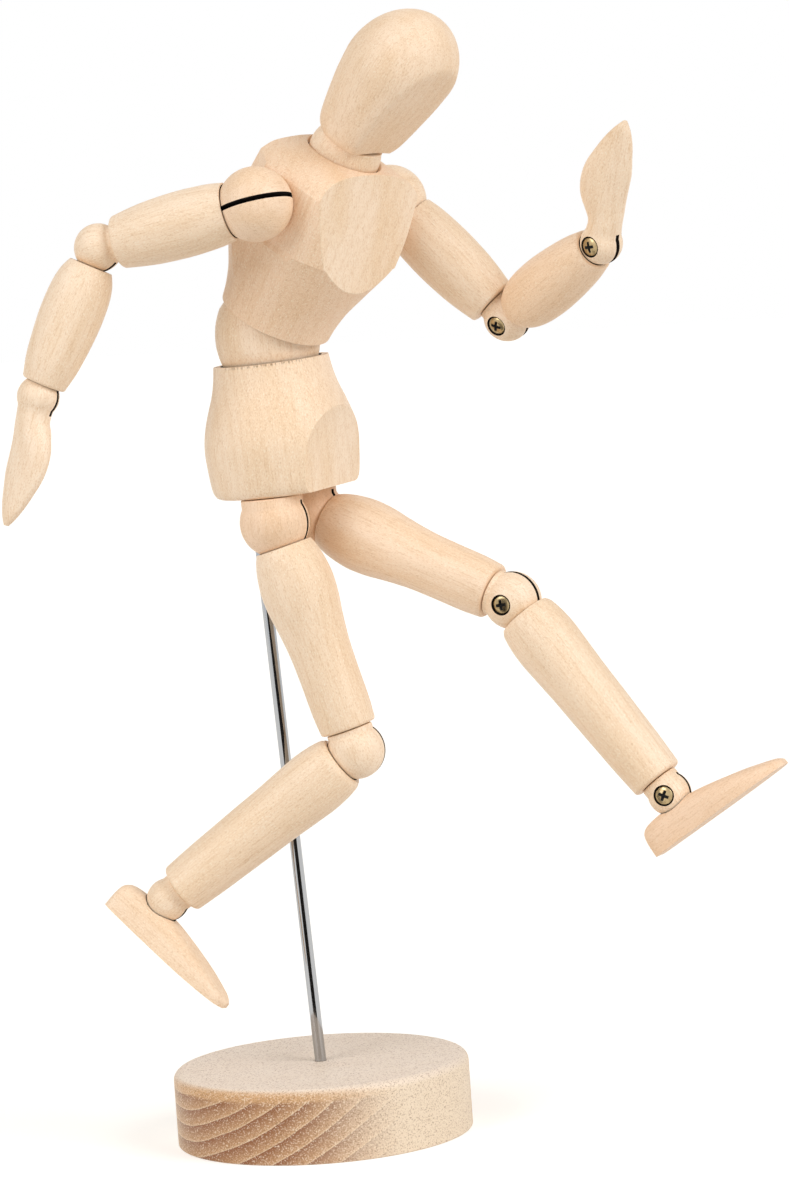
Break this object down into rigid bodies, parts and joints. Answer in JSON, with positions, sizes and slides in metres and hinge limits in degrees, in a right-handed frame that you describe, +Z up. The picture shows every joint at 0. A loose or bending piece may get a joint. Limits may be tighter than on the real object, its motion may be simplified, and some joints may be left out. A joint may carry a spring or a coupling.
{
  "type": "wooden artist mannequin",
  "caption": "Jointed wooden drawing figure with turned limbs, slotted knuckles and a blank face, posed running on a steel rod in a round wooden base; every joint holds its pose.",
  "frame": {"origin": "centre of the round base underside", "axes": "+Z up from the base underside, the figure faces -Y and its left side is +X"},
  "size_m": [0.0933, 0.1902, 0.2989],
  "materials": {
    "pale_wood": "satin, unstained pale wood",
    "base_wood": "satin beech",
    "polished_steel": "polished",
    "steel": "plain",
    "antique_brass": "antique"
  },
  "bodies": {
    "stand": {"support_rod": "polished_steel", "pelvis": "pale_wood", "base": "base_wood"},
    "head": {"head": "pale_wood"},
    "neck": {"neck": "pale_wood"},
    "neck_spring": {"neck_spring": "steel"},
    "chest": {"chest": "pale_wood", "shoulder_spring": "steel"},
    "right_hand": {"right_hand": "pale_wood", "right_wrist_screw": "antique_brass"},
    "right_wrist": {"right_wrist_tongue": "steel"},
    "right_forearm": {"right_forearm": "pale_wood", "right_elbow_tongue": "steel"},
    "right_elbow": {"right_elbow_knuckle": "pale_wood", "right_elbow_screw": "antique_brass"},
    "right_upper_arm": {"right_upper_arm": "pale_wood", "right_shoulder_tongue": "steel"},
    "right_shoulder": {"right_shoulder_ball": "pale_wood", "right_shoulder_pin": "steel"},
    "left_hand": {"left_hand": "pale_wood", "left_wrist_screw": "antique_brass"},
    "left_wrist": {"left_wrist_tongue": "steel"},
    "left_forearm": {"left_forearm": "pale_wood", "left_elbow_tongue": "steel"},
    "left_elbow": {"left_elbow_knuckle": "pale_wood", "left_elbow_screw": "antique_brass"},
    "left_upper_arm": {"left_upper_arm": "pale_wood", "left_shoulder_tongue": "steel"},
    "left_shoulder": {"left_shoulder_ball": "pale_wood", "left_shoulder_pin": "steel"},
    "waist_spring": {"waist_spring": "steel"},
    "waist": {"waist": "pale_wood"},
    "right_foot": {"right_foot": "pale_wood", "right_ankle_tongue": "steel"},
    "right_ankle": {"right_ankle_knuckle": "pale_wood", "right_ankle_screw": "antique_brass"},
    "right_shin": {"right_shin": "pale_wood", "right_knee_tongue": "steel"},
    "right_knee": {"right_knee_knuckle": "pale_wood", "right_knee_screw": "antique_brass"},
    "right_thigh": {"right_thigh": "pale_wood", "right_hip_tongue": "steel"},
    "right_hip": {"right_hip_knuckle": "pale_wood", "right_hip_screw": "antique_brass"},
    "left_foot": {"left_foot": "pale_wood", "left_ankle_tongue": "steel"},
    "left_ankle": {"left_ankle_knuckle": "pale_wood", "left_ankle_screw": "antique_brass"},
    "left_shin": {"left_shin": "pale_wood", "left_knee_tongue": "steel"},
    "left_knee": {"left_knee_knuckle": "pale_wood", "left_knee_screw": "antique_brass"},
    "left_thigh": {"left_thigh": "pale_wood", "left_hip_tongue": "steel"},
    "left_hip": {"left_hip_knuckle": "pale_wood", "left_hip_screw": "antique_brass"}
  },
  "joints": [
    {"name": "waist_turn", "type": "hinge", "parent": "stand", "child": "waist", "pos_m": [-0.00173, -0.00075, 0.21632], "axis": [-0.0419, 0.0471, 0.998], "range_deg": [-60, 60], "deforming": ["waist_spring"]},
    {"name": "waist_lean", "type": "hinge", "parent": "waist", "child": "waist_spring", "pos_m": [-0.00173, -0.00075, 0.21632], "axis": [0.2921, 0.9558, -0.0328], "range_deg": [-26, 18], "deforming": ["waist_spring"]},
    {"name": "chest_bend", "type": "hinge", "parent": "waist_spring", "child": "chest", "pos_m": [-0.00173, -0.00075, 0.21632], "axis": [-0.9555, 0.2932, 0.0334], "range_deg": [-6, 55], "deforming": ["waist_spring"]},
    {"name": "neck_lean", "type": "hinge", "parent": "chest", "child": "neck_spring", "pos_m": [-0.00899, -0.02973, 0.26309], "axis": [0.2645, 0.8009, 0.5373], "range_deg": [-18, 18], "deforming": ["neck_spring"]},
    {"name": "neck_nod", "type": "hinge", "parent": "neck_spring", "child": "neck", "pos_m": [-0.00899, -0.02973, 0.26309], "axis": [0.9515, -0.3076, -0.0099], "range_deg": [-25, 18], "deforming": ["neck_spring"]},
    {"name": "head_turn", "type": "hinge", "parent": "neck", "child": "head", "pos_m": [-0.00996, -0.03287, 0.26726], "axis": [0.1829, 0.5908, -0.7858], "range_deg": [-80, 80], "deforming": ["neck_spring"]},
    {"name": "right_shoulder_turn", "type": "hinge", "parent": "chest", "child": "right_shoulder", "pos_m": [-0.03325, -0.01403, 0.25162], "axis": [-0.9555, 0.2932, 0.0334], "range_deg": [-80, 80]},
    {"name": "right_arm_raise", "type": "hinge", "parent": "right_shoulder", "child": "right_upper_arm", "pos_m": [-0.03325, -0.01403, 0.25162], "axis": [0.0956, 0.2003, 0.9751], "range_deg": [-14, 110]},
    {"name": "right_elbow_turn", "type": "hinge", "parent": "right_upper_arm", "child": "right_elbow", "pos_m": [-0.0382, 0.02939, 0.24318], "axis": [-0.1112, 0.9756, -0.1895], "range_deg": [-70, 70]},
    {"name": "right_elbow_bend", "type": "hinge", "parent": "right_elbow", "child": "right_forearm", "pos_m": [-0.0382, 0.02939, 0.24318], "axis": [0.9831, 0.0801, -0.1647], "range_deg": [-28, 54]},
    {"name": "right_wrist_turn", "type": "hinge", "parent": "right_forearm", "child": "right_wrist", "pos_m": [-0.04588, 0.04638, 0.20555], "axis": [0.183, -0.4047, 0.8959], "range_deg": [-80, 80]},
    {"name": "right_wrist_bend", "type": "hinge", "parent": "right_wrist", "child": "right_hand", "pos_m": [-0.04588, 0.04638, 0.20555], "axis": [0.9831, 0.0801, -0.1647], "range_deg": [-40, 55]},
    {"name": "left_shoulder_turn", "type": "hinge", "parent": "chest", "child": "left_shoulder", "pos_m": [0.01911, -0.03009, 0.24979], "axis": [0.9555, -0.2932, -0.0334], "range_deg": [-80, 80]},
    {"name": "left_arm_raise", "type": "hinge", "parent": "left_shoulder", "child": "left_upper_arm", "pos_m": [0.01911, -0.03009, 0.24979], "axis": [0.205, 0.741, -0.6395], "range_deg": [-110, 12]},
    {"name": "left_elbow_turn", "type": "hinge", "parent": "left_upper_arm", "child": "left_elbow", "pos_m": [0.02357, -0.05972, 0.21688], "axis": [-0.1002, 0.6658, 0.7393], "range_deg": [-70, 70]},
    {"name": "left_elbow_bend", "type": "hinge", "parent": "left_elbow", "child": "left_forearm", "pos_m": [0.02357, -0.05972, 0.21688], "axis": [-0.9011, 0.2543, -0.3512], "range_deg": [-80, 5]},
    {"name": "left_wrist_turn", "type": "hinge", "parent": "left_forearm", "child": "left_wrist", "pos_m": [0.00685, -0.09359, 0.23525], "axis": [0.3981, 0.8064, -0.4374], "range_deg": [-80, 80]},
    {"name": "left_wrist_bend", "type": "hinge", "parent": "left_wrist", "child": "left_hand", "pos_m": [0.00685, -0.09359, 0.23525], "axis": [-0.9171, 0.3614, -0.1683], "range_deg": [-75, 18]},
    {"name": "right_hip_turn", "type": "hinge", "parent": "stand", "child": "right_hip", "pos_m": [-0.01119, -0.00306, 0.16733], "axis": [0.0419, -0.0471, -0.998], "range_deg": [-45, 8]},
    {"name": "right_hip_bend", "type": "hinge", "parent": "right_hip", "child": "right_thigh", "pos_m": [-0.01119, -0.00306, 0.16733], "axis": [-0.996, -0.0803, -0.038], "range_deg": [-60, 32]},
    {"name": "right_knee_turn", "type": "hinge", "parent": "right_thigh", "child": "right_knee", "pos_m": [-0.00744, -0.02031, 0.1055], "axis": [0.0583, -0.2682, -0.9616], "range_deg": [-60, 3]},
    {"name": "right_knee_bend", "type": "hinge", "parent": "right_knee", "child": "right_shin", "pos_m": [-0.00744, -0.02031, 0.1055], "axis": [-0.9733, -0.2295, 0.005], "range_deg": [-5, 71]},
    {"name": "right_ankle_turn", "type": "hinge", "parent": "right_shin", "child": "right_ankle", "pos_m": [-0.02004, 0.03232, 0.06772], "axis": [-0.191, 0.7974, -0.5725], "range_deg": [-60, 60]},
    {"name": "right_ankle_bend", "type": "hinge", "parent": "right_ankle", "child": "right_foot", "pos_m": [-0.02004, 0.03232, 0.06772], "axis": [-0.98, -0.1219, 0.1571], "range_deg": [-50, 40]},
    {"name": "left_hip_turn", "type": "hinge", "parent": "stand", "child": "left_hip", "pos_m": [0.01179, -0.00302, 0.1683], "axis": [-0.0419, 0.0471, 0.998], "range_deg": [-20, 45]},
    {"name": "left_hip_bend", "type": "hinge", "parent": "left_hip", "child": "left_thigh", "pos_m": [0.01179, -0.00302, 0.1683], "axis": [-0.9947, 0.092, -0.0461], "range_deg": [-45, 10]},
    {"name": "left_knee_turn", "type": "hinge", "parent": "left_thigh", "child": "left_knee", "pos_m": [0.00754, -0.06183, 0.14265], "axis": [0.0662, 0.9146, 0.3989], "range_deg": [-45, 45]},
    {"name": "left_knee_bend", "type": "hinge", "parent": "left_knee", "child": "left_shin", "pos_m": [0.00754, -0.06183, 0.14265], "axis": [0.9925, -0.1016, 0.0684], "range_deg": [-29, 42]},
    {"name": "left_ankle_turn", "type": "hinge", "parent": "left_shin", "child": "left_ankle", "pos_m": [0.00699, -0.10228, 0.0905], "axis": [-0.0083, -0.6129, -0.7901], "range_deg": [-60, 60]},
    {"name": "left_ankle_bend", "type": "hinge", "parent": "left_ankle", "child": "left_foot", "pos_m": [0.00699, -0.10228, 0.0905], "axis": [0.9992, 0.025, -0.0298], "range_deg": [-45, 45]}
  ]
}
